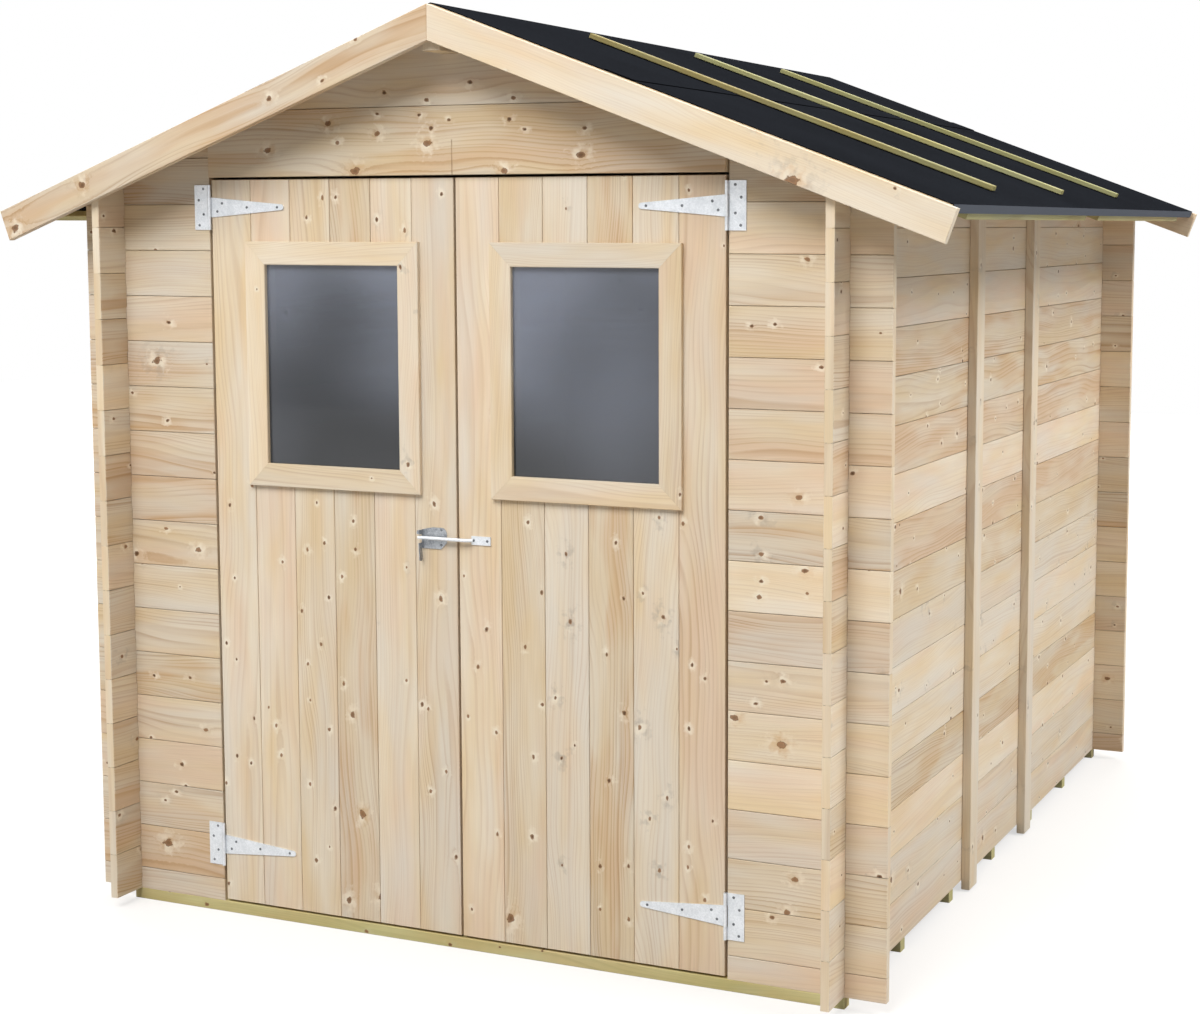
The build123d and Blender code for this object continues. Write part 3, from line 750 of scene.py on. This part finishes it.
def gablePanel():
    low, high = boxOf["front_gable"]
    depth = (low.y, high.y)
    beamHalf, beamLow = beamBox[1].x, beamBox[0].z
    half = timber["seam"] / 2
    seam, joint = gable["seam"] * mm, gable["joint"] * mm
    pile = BoardPile("gableBoards", 41)
    corner = (ridgeUnder - seam + half) / rise
    # The lower board is slit from below, where its two lengths meet
    lower = [(low.x, low.z), (-half, low.z), (-half, joint), (half, joint), (half, low.z), (high.x, low.z)]
    lower += [(high.x, underRoof(high.x)), (corner, seam - half), (-corner, seam - half)]
    lower.append((low.x, underRoof(low.x)))
    corner = (ridgeUnder - seam - half) / rise
    upper = [(-corner, seam + half), (corner, seam + half), (beamHalf, underRoof(beamHalf))]
    upper += [(beamHalf, beamLow), (-beamHalf, beamLow), (-beamHalf, underRoof(beamHalf))]
    for outline, bottom, top in ((lower, low.z, seam), (upper, seam, high.z)):
        spots = knotsIn(gable["knots"], low.x, high.x, bottom, top)
        pile.add(outline, facingFront, depth, knots=spots, wild=gable["wild"])
    corner -= timber["tongue"]
    pile.tongue(facingFront, -corner, corner, seam, depth)
    pile.tongue(uprightFront, low.z, joint, 0.0, depth)
    pile.finish("planed_spruce", "root", ["front_gable"])


frontAndBack()
sideWalls()
sideBattens()
gablePanel()
print("walls made")


# Doors

doors = {
    "boards": 6,  # to a leaf
    "glassGap": 2,  # mm, between the glass and the boards
    "wild": 0.2,  # share of the scattered knots
    # How grey, how pink and how strongly ringed each board is, from the left
    "leftTones": [(0.55, 0.2, 0.3), (0.5, 0.85, 0.3), (0.3, 0.3, 0.55), (0.2, 0.5, 0.9), (0.7, 0.7, 0.3),
                  (0.6, 0.6, 0.6)],
    "rightTones": [(0.35, 0.8, 0.25), (0.15, 0.2, 0.75), (0.95, 0.3, 0.35), (0.1, 0.3, 0.9), (0.9, 0.35, 0.4),
                   (0.25, 0.95, 0.6)],
    # Knots that stand out: x, height and radius in mm
    "leftKnots": [
        (-660, 1060, 4), (-650, 875, 3), (-680, 705, 4), (-650, 665, 3), (-655, 415, 4), (-690, 340, 4),
        (-690, 75, 4), (-505, 925, 4), (-520, 430, 4), (-555, 550, 3), (-400, 1080, 3), (-380, 980, 4),
        (-430, 960, 4), (-370, 845, 4), (-450, 805, 4), (-395, 725, 4), (-430, 580, 3), (-375, 510, 4),
        (-435, 365, 4), (-380, 210, 3), (-420, 170, 4), (-295, 1040, 4), (-290, 970, 4), (-330, 900, 4),
        (-330, 630, 4), (-305, 555, 6), (-280, 305, 8), (-325, 80, 7), (-145, 935, 3), (-150, 655, 3),
        (-65, 1095, 5), (-50, 865, 6), (-105, 600, 5), (-40, 440, 4), (-85, 385, 4), (-330, 1830, 4),
        (-415, 1780, 4), (-215, 1775, 4), (-35, 1835, 4),
    ],
    "rightKnots": [
        (15, 925, 3), (75, 800, 5), (100, 550, 4), (100, 300, 4), (190, 1065, 4), (225, 900, 4),
        (180, 765, 4), (225, 630, 4), (200, 500, 4), (195, 305, 5), (135, 95, 9), (290, 995, 4),
        (300, 835, 5), (260, 650, 4), (310, 540, 3), (275, 505, 4), (275, 245, 3), (420, 1030, 4),
        (440, 900, 4), (395, 765, 4), (440, 630, 5), (400, 465, 5), (375, 255, 4), (450, 265, 4),
        (375, 150, 3), (450, 135, 4), (530, 1095, 4), (540, 865, 5), (480, 600, 5), (550, 440, 4),
        (505, 385, 4), (530, 265, 4), (590, 1085, 4), (645, 730, 4), (605, 610, 4), (605, 330, 4),
        (645, 210, 4),
    ],
}


def doorLeaves():
    half = timber["seam"] / 2
    spare = doors["glassGap"] * mm
    for side, name in halves:
        node = f"door_{name}_panel"
        low, high = boxOf[node]
        glassLow, glassHigh = boxOf[f"door_{name}_glass"]
        hole = (glassLow.x - spare, glassHigh.x + spare, glassLow.z - spare, glassHigh.z + spare)
        pile = BoardPile(f"door{name.title()}Boards", 51 + side)
        width = (high.x - low.x) / doors["boards"]
        for index in range(doors["boards"]):
            c0 = low.x + index * width + (half if index else 0)
            c1 = low.x + (index + 1) * width - (half if index < doors["boards"] - 1 else 0)

            def edgesAt(place):
                if not hole[2] < place < hole[3] or c1 <= hole[0] or c0 >= hole[1]:
                    return c0, c1
                if c0 < hole[0]:
                    return c0, hole[0]
                return (hole[1], c1) if c1 > hole[1] else (c0, c0)

            spots = knotsIn(doors[name + "Knots"], low.z, high.z, c0, c1, upright=True)
            for outline in outlinesOf([low.z, hole[2], hole[3], high.z], edgesAt):
                pile.add(outline, uprightFront, (low.y, high.y), tone=doors[name + "Tones"][index],
                         knots=spots, wild=doors["wild"])
        for index in range(1, doors["boards"]):
            joint = low.x + index * width
            spans = ((low.z, hole[2]), (hole[3], high.z)) if hole[0] < joint < hole[1] else ((low.z, high.z),)
            for a, b in spans:
                pile.tongue(uprightFront, a, b, joint, (low.y, high.y))
        pile.finish("planed_spruce", "door_" + name, [node])


def mitredFrame(name, node, body, seed, sight, width, profile, wild):
    # Four boards round the window, from a profile of (out from the sight edge, back from the front face)
    low, high = boxOf[node]
    pile = BoardPile(name, seed)
    joint = 0.15 * mm
    origin = Vector(((sight[0] + sight[1]) / 2, 0, (sight[2] + sight[3]) / 2))
    halfX, halfZ = (sight[1] - sight[0]) / 2, (sight[3] - sight[2]) / 2
    pairs = ((alongX, alongZ, halfX, halfZ), (alongZ, alongX, halfZ, halfX))
    for along, across, halfLength, halfAcross in pairs:
        for sign in (1, -1):
            rings = []
            for end in (-1, 1):
                rings.append([])
                for out, back in profile:
                    place = origin + along * (end * (halfLength + out - joint))
                    place = place + across * (sign * (halfAcross + out)) + alongY * (low.y + back)
                    rings[-1].append(place)
            # Less pink and less ringed than the other boards
            tone = [pile.random.random(), pile.random.random() * 0.6, pile.random.random() * 0.7]
            middle = sign * (halfAcross + width / 2)
            shift = pile.random.uniform(0, 40)
            pile.keep(rings, origin, along, across, alongY, middle, shift, tone, [], low.y, wild)
    pile.finish("planed_spruce", body, [node])


windows = {  # mm
    "outerWidth": 57,  # the boards of the outer frame
    "outerDepth": 11,
    "outerBevel": 1.5,
    "innerWidth": 50,
    "innerDepth": 18,
    "bead": 8,  # how far the glazing bead stands behind the frame's cover
    "round": 1.2,  # worn outer edges
}
frameKnots = {"outer": 0.3, "inner": 0.0}  # share of the scattered knots


def windowFrames():
    w = {key: value * mm for key, value in windows.items()}
    cover, r, bevel, width = w["bead"], w["round"], w["outerBevel"], w["outerWidth"]
    back = w["outerDepth"]
    outer = [(0, bevel), (bevel, 0), (width - r, 0), (width, r), (width, back), (0, back)]
    for side, name in halves:
        glass = boxOf[f"door_{name}_glass"]
        sight = (glass[0].x + cover, glass[1].x - cover, glass[0].z + cover, glass[1].z - cover)
        mitredFrame(f"door{name.title()}WindowFrame", f"door_{name}_window_frame", "door_" + name, 61 + side,
                    sight, width, outer, frameKnots["outer"])
        low, high = boxOf[f"door_{name}_inner_frame"]
        depth, inner = high.y - low.y, w["innerWidth"]
        step = depth - w["innerDepth"]
        profile = [(0, 0), (cover, 0), (cover, step), (inner, step), (inner, depth - r), (inner - r, depth)]
        mitredFrame(f"door{name.title()}InnerFrame", f"door_{name}_inner_frame", "door_" + name, 66 + side,
                    sight, inner, profile + [(r, depth), (0, depth - r)], frameKnots["inner"])


ledges = {"height": 90, "bevel": 3}  # mm


def doorLedges():
    half = ledges["height"] / 2 * mm
    latchLevel = (boxOf["striker_bar"][0].z + boxOf["striker_bar"][1].z) / 2
    for side, name in halves:
        node = f"door_{name}_ledges"
        low, high = boxOf[node]
        pile = BoardPile(f"door{name.title()}Ledges", 71 + side)
        for middle in (low.z + half, latchLevel, high.z - half):
            outline = rectangle(low.x, high.x, middle - half, middle + half)
            pile.add(outline, facingBack, (-high.y, -low.y), arris=ledges["bevel"] * mm)
        pile.finish("planed_spruce", "door_" + name, [node])


def doorway():
    jobs = [
        ("lintelBeam", "door_lintel", facingFront, 81),
        ("postRight", "door_post_right", uprightFront, 82),
        ("postLeft", "door_post_left", uprightFront, 83),
    ]
    for name, node, lay, seed in jobs:
        low, high = boxOf[node]
        pile = BoardPile(name, seed)
        spans = [(low.x, high.x), (low.z, high.z)]
        first, second = spans if lay is facingFront else spans[::-1]
        pile.add(rectangle(*first, *second), lay, (low.y, high.y), arris=timber["wornArris"], proud=0)
        pile.finish("sawn_spruce", "root", [node])


screws = {  # mm
    "sides": 16,
    "head": [(2.4, 1.0), (3.1, 0.6), (3.4, 0.0), (3.4, -0.3)],  # radius and height over the steel
    "slot": (0.5, 1.7),  # the cross in the head: radius between its arms and at their ends
    "slotDepth": 0.8,
    # Across from the pin towards the wall, and up from the hinge's middle
    "plate": [(19.5, 46), (33.5, 18), (19.5, -17), (32.5, -44)],
    "strap": [(-199.5, 0), (-110, 0), (-36, 10), (-22, -10)],
    "hingeSteel": 2,
    "plateHeight": 111,
    # x and height over the ground
    "latch": [(-45, 1033), (-45, 996)],
    "bar": [(44, 1013), (81, 1013)],
    "barSteel": 2.5,
}


def screwHeads(name, body, places):
    # Domed heads with a cross cut in them, joined into one mesh
    points, faces = [], []
    arms, sides, top = screws["slot"], screws["sides"], screws["head"][0][1]
    rings = [(None, top - screws["slotDepth"]), (None, top), *screws["head"]]
    for place in places:
        faces += shell(len(points), sides, len(rings) - 1)
        for radius, height in rings:
            for index in range(sides):
                angle = index * 2 * math.pi / sides
                reach = arms[index % 4 == 0] if radius is None else radius
                spot = Vector((math.cos(angle) * reach, -height, math.sin(angle) * reach))
                points.append(place + spot * mm)
    piece = newPiece(name, points, faces, "screws", body)


def allScrews():
    face = boxOf["door_right_panel"][0].y
    metal = face - screws["hingeSteel"] * mm
    wall, leaves = [], {"right": [], "left": []}
    pin = (boxOf["door_right_panel"][1].x + boxOf["front_wall_right"][0].x) / 2
    reach = screws["plateHeight"] / 2 * mm
    for side, name in halves:
        low, high = boxOf[f"hinge_plates_{name}"]
        for level in (low.z + reach, high.z - reach):
            origin = Vector((side * pin, metal, level))
            for part, places in (("plate", wall), ("strap", leaves[name])):
                places += [origin + Vector((side * x, 0, z)) * mm for x, z in screws[part]]
    leaves["left"] += [Vector((x * mm, metal, z * mm)) for x, z in screws["latch"]]
    leaves["right"] += [Vector((x * mm, face - screws["barSteel"] * mm, z * mm)) for x, z in screws["bar"]]
    screwHeads("wallScrews", "root", wall)
    for name, places in leaves.items():
        screwHeads(f"door{name.title()}Screws", "door_" + name, places)


doorLeaves()
windowFrames()
doorLedges()
doorway()
allScrews()
print("doors made")


# Base and floor

footing = {
    "joists": 6,  # besides the one under the front wall
    "firstBoard": 86,  # mm, cut to the width that is left beside whole boards
}


def baseAndFloor():
    low, high = boxOf["front_joist"]
    width = high.y - low.y
    span = boxOf["floor_joists"]
    step = (span[1].y - span[0].y - width) / (footing["joists"] - 1)
    spread = [span[0].y + index * step for index in range(footing["joists"])]
    jobs = [("frontJoist", "front_joist", 91, [low.y]), ("floorJoists", "floor_joists", 92, spread)]
    for name, node, seed, places in jobs:
        pile = BoardPile(name, seed)
        for y in places:
            pile.add(rectangle(low.x, high.x, low.z, high.z), facingFront, (y, y + width), proud=0)
        pile.finish("treated_pine", "root", [node])

    low, high = boxOf["floor_deck"]
    half, lay, depth = timber["seam"] / 2, (alongY, alongX, -alongZ), (-high.z, -low.z)
    pile = BoardPile("floorBoards", 93)
    rows = rowsBetween(low.x, high.x, timber["course"], first=footing["firstBoard"] * mm)
    for c0, c1 in rows:
        pile.add(rectangle(low.y, high.y, c0 + half, c1 - half), lay, depth)
    for _, joint in rows[:-1]:
        pile.tongue(lay, low.y, high.y, joint, depth)
    pile.finish("sawn_spruce", "root", ["floor_deck"])


# Roof

roof = {  # mm
    "board": 16,  # thickness
    "fasciaWidth": 78,
    "fasciaDrop": 2,
    "fasciaOverhang": 17,
    "stripLength": 1106,  # the laths under the eaves
    "stripWidth": 34,
    "stripThickness": 16,
    "stripInset": 4,
    "felt": 2,
    "battenStart": 98,  # the laths on the felt, down the slope from the ridge
    "battenEnd": 1228,
    "battenWidth": 26,
    "battenThickness": 13,
}
ends = {  # what shows of the roof from the front; its tones are as on the doors
    "fasciaTones": {"right": [0.8, 0.1, 0.0], "left": [0.5, 0.6, 0.9]},
    "fasciaWild": 0.15,  # share of the scattered knots
    "beamTone": [1.3, 0.0, 0.0],
    # Knots that stand out: x, height and radius in mm
    "knots": [
        (897, 1858, 11), (-999, 1862, 8), (-1216, 1755, 9), (-435, 2061, 6),
    ],
}


def slopeLay(side, facing):
    # Down the slope, square to it, and the third way, for the right (1) or left (-1) half of the roof
    pitch = timber["pitch"]
    down = Vector((side * math.cos(pitch), 0, -math.sin(pitch)))
    up = Vector((side * math.sin(pitch), 0, math.cos(pitch)))
    return {"fascia": (down, up, facing), "deck": (alongY, down, up), "batten": (down, alongY, -up)}


def roofTimber():
    r = {key: value * mm for key, value in roof.items()}
    pitch = timber["pitch"]
    ridge = Vector((0, 0, ridgeUnder))
    deck = boxOf["roof_deck_right"]
    run = (deck[1].x - r["board"] * math.sin(pitch)) / math.cos(pitch)
    half = timber["seam"] / 2
    for side, name in halves:
        lays = slopeLay(side, alongY)
        pile = BoardPile(f"roofBoards{name.title()}", 101 + side)
        for c0, c1 in rowsBetween(0.0, run, timber["course"]):
            lean = -math.tan(pitch) if c0 == 0.0 else 0.0  # mitred along the ridge
            outline = [(deck[0].y, c0 + half, lean), (deck[1].y, c0 + half, lean)]
            outline += [(deck[1].y, c1 - half, 0.0), (deck[0].y, c1 - half, 0.0)]
            pile.add(outline, lays["deck"], (0.0, r["board"]), origin=ridge, proud=0)
        pile.finish("sawn_spruce", "root", [f"roof_deck_{name}"])

        top = r["board"] - r["fasciaDrop"]
        low = top - r["fasciaWidth"]
        end = run + r["fasciaOverhang"]
        outline = [(-low * math.tan(pitch), low), (end, low), (end, top), (-top * math.tan(pitch), top)]
        for place, facing in (("front", alongY), ("back", -alongY)):
            node = f"fascia_{place}_{name}"
            box = boxOf[node]
            depth, tone, spots = (-box[1].y, -box[0].y), None, []
            lay = slopeLay(side, facing)["fascia"]
            if place == "front":
                depth, tone = (box[0].y, box[1].y), ends["fasciaTones"][name]
                for x, z, radius in ends["knots"]:
                    if x * side > 0:
                        local = Vector((x * mm, 0, z * mm)) - ridge
                        spots.append((local.dot(lay[0]), local.dot(lay[1]), radius * mm))
            pile = BoardPile(f"fascia{place.title()}{name.title()}", 111 + side + 5 * (place == "back"))
            pile.add(outline, lay, depth, origin=ridge, tone=tone, knots=spots, proud=0,
                     wild=ends["fasciaWild"])
            pile.finish("planed_spruce", "root", [node])

        outer = run - r["stripInset"]
        pile = BoardPile(f"eaveLaths{name.title()}", 121 + side)
        strips = boxOf[f"eave_strips_{name}"]
        length = r["stripLength"]
        lay = (alongY, lays["deck"][1], -lays["deck"][2])
        for y0 in (strips[0].y, strips[1].y - length):
            outline = rectangle(y0, y0 + length, outer - r["stripWidth"], outer)
            pile.add(outline, lay, (r["felt"], r["felt"] + r["stripThickness"]), origin=ridge, proud=0)
        pile.finish("treated_pine", "root", [f"eave_strips_{name}"])

        seat = r["board"] + 2 * r["felt"]
        pile = BoardPile(f"roofLaths{name.title()}", 131 + side)
        rails = boxOf[f"roof_battens_{name}"]
        middle = (rails[0].y + rails[1].y) / 2
        step = (rails[1].y - rails[0].y - r["battenWidth"]) / 2
        for index in (-1, 0, 1):
            y0 = middle + index * step - r["battenWidth"] / 2
            outline = rectangle(r["battenStart"], r["battenEnd"], y0, y0 + r["battenWidth"])
            pile.add(outline, lays["batten"], (-seat - r["battenThickness"], -seat), origin=ridge,
                     arris=timber["wornArris"])
        pile.finish("treated_pine", "root", [f"roof_battens_{name}"], look="laths")

    low, high = beamBox
    pile = BoardPile("ridgeBeam", 141)
    corner = underRoof(high.x)
    outline = [(low.z, -high.x), (low.z, high.x), (corner, high.x), (ridgeUnder, 0), (corner, -high.x)]
    pile.add(outline, uprightFront, (low.y, high.y), tone=ends["beamTone"], proud=0, wild=0)
    pile.finish("sawn_spruce", "root", ["ridge_beam"])


baseAndFloor()
roofTimber()
print("base, floor and roof made")


# Finishes of the pieces that the frame brings

def dressFrame():
    slots = {part["node"]: part["material_slot"] for part in frame["record"]["subparts"]}
    # The latch takes the darker copy of the steel, which is painted shade
    slots.update(latch_body="latch", latch_pawl="latch")
    for name, node in frame["nodes"].items():
        if not node.hide_render:
            node.data.materials.clear()
            node.data.materials.append(finishes[slots[name]])


dressFrame()


# Studio

studio = {
    "camera": (2.5079, -5.5727, 1.7631),
    "tilt": math.pi / 2 - 0.1028,
    "turn": 0.4164,
    "lens": 62.857,
    "shift": (-0.07025, -0.05506),
    "floor": 14.0,
    "sky": 0.16,  # light from all round, besides the lamps
    "floorColour": "#9E9C99",  # what the shed gets back from below
    "glow": 0.62,  # lifts the floor to white where it is seen, and leaves the shed's shadow on it
    "glowReach": (2.5, 9.0),  # metres from the shed; from here to there the glow grows to 1
}


def makeCamera():
    data = bpy.data.cameras.new("camera")
    data.sensor_width = 36
    data.lens = studio["lens"]
    data.shift_x, data.shift_y = studio["shift"]
    camera = bpy.data.objects.new("camera", data)
    camera.location = studio["camera"]
    camera.rotation_euler = (studio["tilt"], 0, studio["turn"])
    bpy.context.scene.collection.objects.link(camera)
    bpy.context.scene.camera = camera


lamps = {  # degrees to the right of the front, degrees up, watts
    "front": (-3, 47, 1620),
    "right": (93, 45, 1600),
    "left": (-50, 40, 340),
    "rear": (-175, 45, 1010),
    "rearLeft": (-120, 40, 800),
}
lampRing = {"distance": 14.0, "size": 7.8, "aim": (0, 0, 1.0)}  # metres


def makeLamps():
    for name, (turn, height, watts) in lamps.items():
        turn, height = math.radians(turn), math.radians(height)
        data = bpy.data.lights.new(name, "AREA")
        data.shape, data.size, data.energy = "DISK", lampRing["size"], watts
        lamp = bpy.data.objects.new(name, data)
        level = math.cos(height)
        away = Vector((math.sin(turn) * level, -math.cos(turn) * level, math.sin(height)))
        lamp.location = Vector(lampRing["aim"]) + away * lampRing["distance"]
        lamp.rotation_euler = (-away).to_track_quat("-Z", "Y").to_euler()
        bpy.context.scene.collection.objects.link(lamp)


def seenRays(add):
    # 1 where the studio itself is seen, also in and through the glass, and 0 where it only gives light
    path = add("LightPath")
    seen = add("Math", [path.outputs["Is Camera Ray"], path.outputs["Is Glossy Ray"]], "MAXIMUM")
    return add("Math", [seen, path.outputs["Is Transmission Ray"]], "MAXIMUM")


def makeWorld():
    world = bpy.data.worlds.new("studio")
    world.use_nodes = True
    bpy.context.scene.world = world
    world.node_tree.nodes.clear()
    add = partial(addNode, world.node_tree)
    strength = add("MapRange", {"Value": seenRays(add), "To Min": studio["sky"]})
    add("OutputWorld", {"Surface": add("Background", {"Color": "#FFFFFF", "Strength": strength})})


def shadeFloor(add, look):
    away = add("VectorMath", [add("TexCoord").outputs["Object"]], "LENGTH")
    near, far = look["glowReach"]
    glow = add("MapRange", {"Value": away, "From Min": near, "From Max": far, "To Min": look["glow"]},
               interpolation_type="SMOOTHSTEP")
    glow = add("Math", [seenRays(add), glow], "MULTIPLY")
    pale = add("BsdfDiffuse", {"Color": look["floorColour"]})
    return add("AddShader", [pale, add("Emission", {"Color": "#FFFFFF", "Strength": glow})])


def makeFloor():
    half = studio["floor"]
    mesh = bpy.data.meshes.new("studioFloor")
    corners = [(*corner, 0) for corner in rectangle(-half, half, -half, half)]
    mesh.from_pydata(corners, [], [(0, 1, 2, 3)])
    floor = bpy.data.objects.new("studioFloor", mesh)
    bpy.context.scene.collection.objects.link(floor)
    mesh.materials.append(newMaterial("paleFloor", shadeFloor, studio))


makeCamera()
makeLamps()
makeWorld()
makeFloor()
bpy.context.scene.view_settings.view_transform = "Standard"
print("studio made")

bpy.context.view_layer.update()
